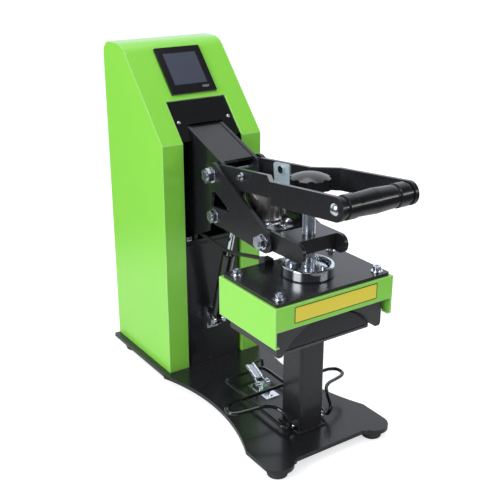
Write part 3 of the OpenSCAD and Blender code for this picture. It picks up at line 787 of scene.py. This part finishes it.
# %% Mix the vinyl and the inks
yellow_vinyl = finish(
    "yellow_vinyl",
    film_group,
    {
        "Colour": (0.92, 0.76, 0.05, 1),
        "Edge Colour": (0.9, 0.8, 0.2, 1),
        "Edge Amount": 0.1,
        "Peel Scale": 260.0,
        "Roughness": 0.3,
        "Dust": 0.05,
    },
    bump=0.04,
    depth=0.0002,
    shader={"Coat Weight": 0.3, "Coat Roughness": 0.15},
)
printed_grey = finish(
    "printed_grey",
    film_group,
    {"Colour": (0.38, 0.39, 0.40, 1), "Edge Amount": 0.0, "Roughness": 0.4},
    bump=0.02,
    depth=0.0001,
    shader={"IOR": 1.45},
)
strip_ink = finish(
    "strip_ink",
    film_group,
    {
        "Colour": (0.022, 0.022, 0.020, 1),
        "Edge Amount": 0.0,
        "Peel Scale": 260.0,
        "Roughness": 0.35,
        "Dust": 0.05,
    },
    bump=0.04,
    depth=0.0002,
    shader={"Coat Weight": 0.3, "Coat Roughness": 0.15},
)
print("vinyl and two inks mixed")

# %% [markdown]
# ## The display
#
# The display is a cool grey panel behind clear glass. It is switched off, so
# it gives no light. A very fine checker stands for its dots, and soft smudges
# make the glass a little dull where fingers touch it.

# %% Mix the display glass
display, tree = new_material("display_glass")
where = place_on_piece(tree)
wash = noise(tree, where, 9.0, 2.0, 0.5)
dots = {
    "Vector": where,
    "Scale": 2500.0,
    "Color1": (0.060, 0.068, 0.100, 1),
    "Color2": (0.050, 0.057, 0.086, 1),
}
pixels = add_node(tree, "ShaderNodeTexChecker", dots).outputs["Color"]
cool = blend_colour(tree, wash, pixels, (0.085, 0.095, 0.130, 1))
smudge = noise(tree, where, 60.0, 4.0, 0.6)
look = {
    "Base Color": cool,
    "Roughness": math_node(tree, "MULTIPLY_ADD", smudge, 0.14, 0.10),
    "IOR": 1.5,
    "Coat Weight": 0.6,
    "Coat Roughness": 0.05,
}
put_out(tree, add_node(tree, "ShaderNodeBsdfPrincipled", look))
print("display glass mixed")

# %% [markdown]
# ## Which piece wears what
#
# Each solid piece came with a plain material. The list below gives every one
# its finish, and keeps the pieces of one finish together, so that a change to
# the paint is made in one place.

# %% Dress the solid pieces
WEARS = {
    green_powder: "tower_housing platen_cover",
    black_powder: (
        "base_plate support_post column head_bracket left_arm_plate"
        " right_arm_plate yoke left_handle_bar right_handle_bar"
        " platen_top_plate rear_cover"
    ),
    black_gloss: "throat_plate tensioner_frame latch_loop gas_spring_tube screw_nut",
    bright_zinc: (
        "foot_screws head_bracket_bolts main_pivot_bolt main_pivot_nut"
        " spring_pin elbow_bolts armature_plate armature_bolts grip_screws"
        " magnet_bracket_bolts pressure_screw platen_bolts"
        " thrust_retainer heater_rods gas_spring_clevis clevis_pin"
        " tensioner_pivots latch_base latch_lever latch_pin"
    ),
    blue_zinc: "magnet_bracket",
    chrome: "guide_stud gas_spring_rod thrust_cup",
    nickel: "electromagnet",
    mill_aluminium: "power_module",
    aluminium_in_painted_shade: "lower_platen_plate",
    heater_coat: "heater_block",
    moulded_black: (
        "handle_grip grip_collars star_knob controller_bezel power_inlet"
        " power_switch power_rocker lead_relief"
    ),
    foot_rubber: "rubber_feet",
    display: "controller_screen",
    circuit_green: "control_board",
    mineral_fibre: "insulation_board",
    lead_jacket: "heater_lead",
    ribbed_silicone: "lower_platen_pad",
}
dressed = 0
for material, names in WEARS.items():
    for name in names.split():
        for slot in nodes[name].material_slots:
            slot.material = material
        dressed += 1
print(dressed, "pieces dressed")

# %% [markdown]
# ## Growing small parts with Geometry Nodes
#
# Threads, weld beads and rows of screws all repeat one shape by a rule. A
# Geometry Nodes tree states the rule once, with named sizes, and can be read
# back later. The grown result is turned into a plain mesh, because other
# programs don't know the tree.

# %% Helpers that grow a part


def geometry_tree(name, ins):
    """An empty Geometry Nodes tree with named inputs: (name, kind, value)."""
    tree = bpy.data.node_groups.new(name, "GeometryNodeTree")
    shape = "NodeSocketGeometry"
    tree.interface.new_socket("Base", in_out="INPUT", socket_type=shape)
    for label, kind, value in ins:
        socket = tree.interface.new_socket(label, in_out="INPUT", socket_type=kind)
        if value is not None:
            socket.default_value = value
    tree.interface.new_socket("Grown", in_out="OUTPUT", socket_type=shape)
    return tree, tree.nodes.new("NodeGroupInput").outputs


def end_tree(tree, shape, edge_glint_and_finish):
    """Makes all copies real, gives them their finish and puts them out."""
    real = add_node(tree, "GeometryNodeRealizeInstances", {"Geometry": shape})
    coat = {"Geometry": real.outputs["Geometry"], "Material": edge_glint_and_finish}
    coated = add_node(tree, "GeometryNodeSetMaterial", coat)
    add_node(tree, "NodeGroupOutput", {"Grown": coated.outputs["Geometry"]})


def add_object(name, data):
    """A new object at the origin."""
    piece = bpy.data.objects.new(name, data)
    bpy.context.collection.objects.link(piece)
    return piece


def plain_mesh(piece):
    """The mesh that a piece shows once its modifiers have run."""
    view = bpy.context.evaluated_depsgraph_get()
    return bpy.data.meshes.new_from_object(piece.evaluated_get(view))


def grow(tree, name, base, sizes):
    """Runs a tree over a base mesh and keeps what grew, as a plain mesh."""
    maker = add_object(name + "_base", base)
    step = maker.modifiers.new("grow", "NODES")
    step.node_group = tree
    for item in tree.interface.items_tree:
        if item.in_out == "INPUT" and item.name in sizes:
            step[item.identifier] = sizes[item.name]
    mesh = plain_mesh(maker)
    bpy.data.objects.remove(maker)
    print(f"{name}: {len(mesh.polygons)} faces grown")
    return add_object(name, mesh)


print("one kit for grown parts")

# %% Helpers that skin and turn a part


def shade_by_angle(mesh, degrees=40):
    """Smooth shading that keeps the edges sharper than an angle."""
    mesh.shade_smooth()
    mesh.set_sharp_from_angle(angle=math.radians(degrees))


def closed_skin(name, rings):
    """A closed mesh over rings of points. A ring may be a single point."""
    work = bmesh.new()
    rows = [[work.verts.new(point) for point in ring] for ring in rings]
    for near, far in zip(rows, rows[1:]):
        for k in range(max(len(near), len(far))):
            corners = (
                near[k % len(near)],
                near[(k + 1) % len(near)],
                far[(k + 1) % len(far)],
                far[k % len(far)],
            )
            work.faces.new(list(dict.fromkeys(corners)))
    for end in (rows[0], rows[-1]):
        if len(end) > 2:
            work.faces.new(end)
    bmesh.ops.recalc_face_normals(work, faces=work.faces)
    mesh = bpy.data.meshes.new(name)
    work.to_mesh(mesh)
    work.free()
    return mesh


def lathe(name, profile, steps=48):
    """Turns a profile of (radius, height) points, in mm, round the upright."""
    rings = []
    for radius, height in profile:
        turns = [math.tau * k / steps for k in range(steps)] if radius else [0]
        rings.append(
            [
                Vector((radius * math.cos(a), radius * math.sin(a), height)) * MM
                for a in turns
            ]
        )
    mesh = closed_skin(name, rings)
    shade_by_angle(mesh)
    return mesh


print("one skinner, one lathe")

# %% [markdown]
# ## The pressure screw
#
# The knob turns a coarse thread of 2 mm pitch. A thread is a ridge that winds
# round a core, so it is made as one: a spiral curve with a trapezium swept
# along it. The plain core, the flange that turns in the cup and the spigot in
# the knob are turned on the lathe.

# %% Wind the thread
SCREW_Y, THREAD_FOOT = -162, 244.5
thread_tree, given = geometry_tree(
    "wound_thread",
    [
        ("Core Radius", FLOAT, 0.0068),
        ("Ridge", FLOAT, 0.0012),
        ("Pitch", FLOAT, 0.002),
        ("Length", FLOAT, 0.09),
        ("Finish", "NodeSocketMaterial", None),
    ],
)
winding = {
    "Resolution": 36,
    "Rotations": math_node(thread_tree, "DIVIDE", given["Length"], given["Pitch"]),
    "Start Radius": given["Core Radius"],
    "End Radius": given["Core Radius"],
    "Height": given["Length"],
}
spiral = add_node(thread_tree, "GeometryNodeCurveSpiral", winding).outputs["Curve"]
upright = add_node(thread_tree, "GeometryNodeSetCurveNormal", {"Curve": spiral})
upright.mode = "Z_UP"
trapezium = {
    "Height": math_node(thread_tree, "MULTIPLY", given["Ridge"], 2.0),
    "Bottom Width": math_node(thread_tree, "MULTIPLY", given["Pitch"], 0.92),
    "Top Width": math_node(thread_tree, "MULTIPLY", given["Pitch"], 0.16),
    "Offset": 0,
}
ridge = thread_tree.nodes.new("GeometryNodeCurvePrimitiveQuadrilateral")
ridge.mode = "TRAPEZOID"
fill(thread_tree, ridge, trapezium)
quarter = add_node(
    thread_tree,
    "GeometryNodeTransform",
    {"Geometry": ridge.outputs["Curve"], "Rotation": (0, 0, math.radians(90))},
)
sweep = add_node(
    thread_tree,
    "GeometryNodeCurveToMesh",
    {
        "Curve": upright.outputs["Curve"],
        "Profile Curve": quarter.outputs["Geometry"],
        "Fill Caps": True,
    },
)
end_tree(thread_tree, sweep.outputs["Mesh"], given["Finish"])

thread = grow(
    thread_tree,
    "screw_thread",
    bpy.data.meshes.new("nothing_yet"),
    {"Length": 0.0925, "Finish": bright_zinc},
)
shade_by_angle(thread.data, 35)
thread.data.transform(Matrix.Translation(at(0, SCREW_Y, THREAD_FOOT)))
stamp(thread, "thread")

# %% Turn the core, the flange and the spigot
CORE = [
    (0, 238.7), (11.4, 238.7), (12, 239.3), (12, 241.9), (11.4, 242.5),
    (8, 242.5), (8, 244.1), (6.8, 244.9), (6.8, 337.2), (7.4, 337.9),
    (4.9, 337.9), (4.9, 350), (4.3, 350.5), (0, 350.5),
]
core = add_object("screw_core", lathe("screw_core", CORE))
core.data.materials.append(bright_zinc)
core.data.transform(Matrix.Translation(at(0, SCREW_Y, 0)))
for piece in (thread, core):
    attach(piece, "screw")
    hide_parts("pressure_screw")
stamp(core, "core")

# %% [markdown]
# ## The lower pad
#
# The cap is pulled over this pad, a crowned block of silicone foam with a
# finely ribbed skin. It gives a little when the platen closes, so its edges
# are round. It is lofted from one outline, an arc over a flat foot, that is
# repeated from front to back and drawn in at both ends.

# %% Loft the pad
PAD_Y, PAD_HALF, PAD_DEEP = -162, 66, 44
PAD_FOOT, CROWN_Z, CROWN_R = 165.2, 113.2, 85.8
# How far in from an end, and how much smaller the outline is there.
LIP = [(0, 2.6), (0.25, 1.6), (0.8, 0.8), (1.7, 0.25), (3, 0)]
LIP_LENGTH, PAD_STEPS = 3, 20


def pad_outline(inset, arc_steps=72, foot_steps=24):
    """The arc over its foot, drawn smaller all round by an inset in mm."""
    radius, foot = CROWN_R - inset, PAD_FOOT + inset
    chord = math.sqrt(radius**2 - (foot - CROWN_Z) ** 2)
    half = min(PAD_HALF - inset, chord - 0.4)
    lean = math.asin(half / radius)
    arc = [lean - 2 * lean * k / arc_steps for k in range(arc_steps + 1)]
    over = [(radius * math.sin(a), CROWN_Z + radius * math.cos(a)) for a in arc]
    under = [
        (-half + 2 * half * k / foot_steps, foot) for k in range(foot_steps + 1)
    ]
    return over + under


straight = 2 * (PAD_DEEP - LIP_LENGTH)
front = [(-PAD_DEEP + deep, inset) for deep, inset in LIP]
middle = [
    (-PAD_DEEP + LIP_LENGTH + straight * k / PAD_STEPS, 0) for k in range(1, PAD_STEPS)
]
back = [(PAD_DEEP - deep, inset) for deep, inset in reversed(LIP)]
pad_mesh = closed_skin(
    "crowned_pad",
    [
        [at(x, PAD_Y + deep, z) for x, z in pad_outline(inset)]
        for deep, inset in front + middle + back
    ],
)
shade_by_angle(pad_mesh, 50)
pad = add_object("crowned_pad", pad_mesh)
pad.data.materials.append(ribbed_silicone)
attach(pad, "frame")
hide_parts("lower_platen_pad")
stamp(pad, "pad")

# %% [markdown]
# ## The heater lead
#
# One round lead brings power and the thermostat's wires from the tower to the
# heater. It is stiff, because its jacket is heatproof, and sags only a little
# between its two ends. A ring is carried along a smooth line through a few
# points, which makes a clean tube.

# %% Pull the lead
LEAD_R = 2.6
LEAD_ROUTE = [
    (-20, 126, 228), (-20, 118, 228), (-20, 95, 227), (-21, 65, 226),
    (-21, 40, 225), (-22, 10, 223), (-24, -20, 224), (-26, -50, 230),
    (-27, -80, 237), (-27, -94, 239.9), (-27, -101.6, 240.4),
]


def smooth_line(points, parts):
    """A line through all points, with even bends between them."""
    points = [at(*p) for p in points]
    line = []
    for k in range(len(points) - 1):
        a, b = points[max(k - 1, 0)], points[k]
        c, d = points[k + 1], points[min(k + 2, len(points) - 1)]
        straight, bend = c - a, 2 * a - 5 * b + 4 * c - d
        swing = 3 * b - a - 3 * c + d
        for t in (i / parts for i in range(parts)):
            line.append(0.5 * (2 * b + straight * t + bend * t * t + swing * t**3))
    return line + [points[-1]]


def tube(name, line, radius, sides=16):
    """A closed round tube along a line, its ring carried without a twist."""
    rings, up = [], Vector((1, 0, 0))
    for k, point in enumerate(line):
        ahead = (line[min(k + 1, len(line) - 1)] - line[max(k - 1, 0)]).normalized()
        up = (up - ahead * up.dot(ahead)).normalized()
        side = ahead.cross(up)
        turns = [math.tau * j / sides for j in range(sides)]
        rings.append(
            [
                point + radius * MM * (up * math.cos(a) + side * math.sin(a))
                for a in turns
            ]
        )
    mesh = closed_skin(name, rings)
    shade_by_angle(mesh)
    return add_object(name, mesh)


lead_line = smooth_line(LEAD_ROUTE, 4)
lead = tube("heater_cord", lead_line, LEAD_R)
lead.data.materials.append(lead_jacket)
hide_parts("heater_lead")
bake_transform(lead)

# %% [markdown]
# ## Small screws
#
# A pan head screw is turned on the lathe and gets its cross slot from a
# Boolean. One tree then sets a copy on each spot of a mesh that holds only
# points. Each point carries the direction that its screw faces, and a seed
# turns every slot by its own amount, as a hand would leave them.

# %% Make one screw


def cut_cross(piece, half_width, reach, top, deep):
    """Cuts a cross slot down into the middle of a head, in mm."""
    w, r = half_width, reach
    outline = [
        (w, r), (-w, r), (-w, w), (-r, w), (-r, -w), (-w, -w),
        (-w, -r), (w, -r), (w, -w), (r, -w), (r, w), (w, w),
    ]
    levels = ((top + 1, 1), (top - deep, 0.7))
    rings = [
        [Vector((x * taper, y * taper, z)) * MM for x, y in outline]
        for z, taper in levels
    ]
    cutter = add_object("cross_cutter", closed_skin("cross_cutter", rings))
    cut = piece.modifiers.new("cross", "BOOLEAN")
    cut.operation = "DIFFERENCE"
    cut.solver = "EXACT"
    cut.object = cutter
    done = plain_mesh(piece)
    piece.modifiers.clear()
    piece.data = done
    bpy.data.objects.remove(cutter)


PAN_HEAD = [
    (0, -0.4), (2.9, -0.4), (3.2, 0.1), (3.3, 0.7), (3.1, 1.3),
    (2.6, 1.8), (1.8, 2.15), (0.9, 2.3), (0, 2.35),
]
HEAD_TOP = PAN_HEAD[-1][1]
screw_model = add_object("screw_model", lathe("screw_model", PAN_HEAD, 32))
cut_cross(screw_model, 0.42, 1.75, HEAD_TOP, 1.3)
shade_by_angle(screw_model.data, 35)
stamp(screw_model, "screw head")

# %% A tree that sets the screw on points
# A Random Value node shows its number sockets after its direction sockets.
RANDOM_LOW, RANDOM_HIGH, RANDOM_DRAWN = 2, 3, 1
screw_tree, given = geometry_tree(
    "set_screws",
    [
        ("Screw", "NodeSocketObject", None),
        ("Size", FLOAT, 1.0),
        ("Seed", "NodeSocketInt", 4),
        ("Finish", "NodeSocketMaterial", None),
    ],
)
one = add_node(screw_tree, "GeometryNodeObjectInfo", {"Object": given["Screw"]})
faces = add_node(screw_tree, "GeometryNodeInputNamedAttribute", {"Name": "facing"})
faces.data_type = "FLOAT_VECTOR"
aim = add_node(
    screw_tree,
    "FunctionNodeAlignRotationToVector",
    {"Vector": faces.outputs["Attribute"]},
)
aim.axis = "Z"
chance = add_node(
    screw_tree,
    "FunctionNodeRandomValue",
    {RANDOM_HIGH: math.tau, "Seed": given["Seed"]},
)
chance.data_type = "FLOAT"
spin = add_node(
    screw_tree,
    "FunctionNodeAxisAngleToRotation",
    {"Angle": chance.outputs[RANDOM_DRAWN]},
)
twist = add_node(
    screw_tree,
    "FunctionNodeRotateRotation",
    {0: aim.outputs[0], 1: spin.outputs[0]},
)
twist.rotation_space = "LOCAL"
place = {
    "Points": given["Base"],
    "Instance": one.outputs["Geometry"],
    "Rotation": twist.outputs[0],
    "Scale": given["Size"],
}
screws = add_node(screw_tree, "GeometryNodeInstanceOnPoints", place)
end_tree(screw_tree, screws.outputs["Instances"], given["Finish"])


def set_screws(name, spots, body, size=1.0, seed=4):
    """A zinc screw on each spot: (place in mm, direction it faces)."""
    base = bpy.data.meshes.new(name)
    base.from_pydata([at(*place) for place, _ in spots], [], [])
    facing = base.attributes.new("facing", "FLOAT_VECTOR", "POINT")
    for k, (_, way) in enumerate(spots):
        facing.data[k].vector = way
    sizes = {"Screw": screw_model, "Size": size, "Seed": seed, "Finish": bright_zinc}
    piece = grow(screw_tree, name, base, sizes)
    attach(piece, body)


print("screws can be set")

# %% Set the screws
UP, REAR = (0, 0, 1), (0, 1, 0)
SLOPE_FOOT_Y, SLOPE_FOOT_Z, SLOPE = 54, 360, math.radians(48.5)
SLOPE_OUT = Vector((0, -math.sin(SLOPE), math.cos(SLOPE)))


def on_slope(x, up, out):
    """A point of the sloped face: across, up the slope and out of it, in mm."""
    return (
        x,
        SLOPE_FOOT_Y + up * math.cos(SLOPE) - out * math.sin(SLOPE),
        SLOPE_FOOT_Z + up * math.sin(SLOPE) + out * math.cos(SLOPE),
    )


throat_spots = [(on_slope(x, 33, -2.2), SLOPE_OUT) for x in (-40, 40)]
cover_spots = [
    ((x, 221, z), REAR) for x in (-64.5, 64.5) for z in (84, 194, 304, 414)
]
inlet_spots = [((x, 222, 47), REAR) for x in (-54.4, -17.6)]
set_screws("throat_screws", throat_spots, "frame", size=0.8)
set_screws("rear_screws", cover_spots, "frame", seed=11)
set_screws("inlet_screws", inlet_spots, "frame", size=0.8, seed=7)
set_screws("earth_screw", [((-2, -108, 235.5), UP)], "platen")
bpy.data.objects.remove(screw_model)

# %% [markdown]
# ## Weld beads
#
# The post is welded to the base plate, and the nut to the yoke. A hand-laid
# bead is a row of small overlapping ripples, so a tree sets flattened balls
# along a line at even steps, and turns each one along the line.

# %% A tree that lays a bead
bead_tree, given = geometry_tree(
    "weld_bead",
    [
        ("Ripple", FLOAT, 0.0021),
        ("Radius", FLOAT, 0.0019),
        ("Finish", "NodeSocketMaterial", None),
    ],
)
line = add_node(bead_tree, "GeometryNodeMeshToCurve", {"Mesh": given["Base"]})
steps = bead_tree.nodes.new("GeometryNodeResampleCurve")
steps.mode = "LENGTH"
fill(bead_tree, steps, {"Curve": line.outputs["Curve"], "Length": given["Ripple"]})
ball = add_node(
    bead_tree,
    "GeometryNodeMeshIcoSphere",
    {"Subdivisions": 2, "Radius": given["Radius"]},
)
flat = add_node(
    bead_tree,
    "GeometryNodeTransform",
    {"Geometry": ball.outputs["Mesh"], "Scale": (0.75, 1.0, 0.8)},
)
smooth = add_node(
    bead_tree, "GeometryNodeSetShadeSmooth", {"Geometry": flat.outputs["Geometry"]}
)
along = bead_tree.nodes.new("GeometryNodeInputTangent").outputs["Tangent"]
aim = add_node(bead_tree, "FunctionNodeAlignRotationToVector", {"Vector": along})
aim.axis = "X"
uneven = add_node(
    bead_tree,
    "FunctionNodeRandomValue",
    {RANDOM_LOW: 0.88, RANDOM_HIGH: 1.1, "Seed": 3},
)
uneven.data_type = "FLOAT"
place = {
    "Points": steps.outputs["Curve"],
    "Instance": smooth.outputs["Geometry"],
    "Rotation": aim.outputs[0],
    "Scale": uneven.outputs[RANDOM_DRAWN],
}
ripples = add_node(bead_tree, "GeometryNodeInstanceOnPoints", place)
end_tree(bead_tree, ripples.outputs["Instances"], given["Finish"])
print("beads can be laid")

# %% Lay the beads
# The balls stand this many radii apart, so that they overlap.
RIPPLE_STEP = 1.1


def lay_bead(name, corners, body, radius):
    """A bead round a closed outline of places in mm."""
    count = len(corners)
    base = bpy.data.meshes.new(name)
    base.from_pydata(
        [at(*c) for c in corners], [(k, (k + 1) % count) for k in range(count)], []
    )
    sizes = {"Radius": radius * MM, "Ripple": RIPPLE_STEP * radius * MM}
    piece = grow(bead_tree, name, base, sizes | {"Finish": black_powder})
    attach(piece, body)


NUT_R, NUT_FOOT, POST_FOOT = 14, 283.6, 20.8
post_corners = [(-20, -179), (20, -179), (20, -137), (-20, -137)]
nut_turns = [math.radians(60 * k) for k in range(6)]
nut_corners = [(NUT_R * math.cos(a), SCREW_Y + NUT_R * math.sin(a)) for a in nut_turns]
lay_bead("post_bead", [(x, y, POST_FOOT) for x, y in post_corners], "frame", 2.3)
lay_bead("nut_bead", [(x, y, NUT_FOOT) for x, y in nut_corners], "arm", 1.4)

# %% [markdown]
# ## The yellow strip
#
# A yellow vinyl strip with a thin dark rim sits on the front of the cover. It
# is cut from a thin sheet with round corners. The rim is a second sheet
# behind it.

# %% Cut and lay the strip
STRIP_PLACE = at(0.6, -219, 217)


def plate(name, width, height, corner, thick):
    """A thin upright plate with round corners, its back on the plane y = 0."""
    outline = []
    for side_x, side_z, start in ((1, 1, 0), (-1, 1, 90), (-1, -1, 180), (1, -1, 270)):
        for k in range(7):
            angle = math.radians(start + 15 * k)
            outline.append(
                (
                    side_x * (width / 2 - corner) + corner * math.cos(angle),
                    side_z * (height / 2 - corner) + corner * math.sin(angle),
                )
            )
    small_x, small_z = 1 - 2 * thick / width, 1 - 2 * thick / height
    levels = ((0, 1, 1), (-0.7 * thick, 1, 1), (-thick, small_x, small_z))
    rings = [
        [Vector((x * wide, y, z * tall)) * MM for x, z in outline]
        for y, wide, tall in levels
    ]
    return add_object(name, closed_skin(name, rings))


rim = plate("strip_rim", 127, 21, 1.2, 0.12)
strip = plate("yellow_strip", 124.6, 18.6, 0.8, 0.2)
for piece, finish_of in ((rim, strip_ink), (strip, yellow_vinyl)):
    piece.data.transform(Matrix.Translation(STRIP_PLACE))
    piece.data.materials.append(finish_of)
    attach(piece, "platen")
stamp(strip, "strip")

# %% [markdown]
# ## A word on the bezel
#
# The only print on the control is one plain word under the display. A text
# object gives its letters, which are turned into a mesh, scaled to the size
# of the print and laid on the sloped face.

# %% Print the word
WORD_SIZE = (11.0, 3.3, 0.1)
WORD_PLACE = on_slope(22.5, 82.4, 3.04)
letters = bpy.data.curves.new("reset_letters", "FONT")
letters.body = "RESET"
letters.align_x, letters.align_y = "CENTER", "CENTER"
letters.extrude = 0.1
writer = add_object("reset_writer", letters)
word_mesh = plain_mesh(writer)
bpy.data.objects.remove(writer)
word = add_object("reset_word", word_mesh)
lows, highs = (
    [pick(v.co[k] for v in word_mesh.vertices) for k in range(3)] for pick in (min, max)
)
shrink = [want * MM / (high - low) for want, low, high in zip(WORD_SIZE, lows, highs)]
word_mesh.transform(Matrix.Translation([-(a + b) / 2 for a, b in zip(lows, highs)]))
word_mesh.transform(Matrix.Diagonal((*shrink, 1)))
word_mesh.transform(
    Matrix.Translation(at(*WORD_PLACE)) @ Matrix.Rotation(SLOPE, 4, "X")
)
word_mesh.materials.clear()
word_mesh.materials.append(printed_grey)
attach(word, "frame")
stamp(word, "word")
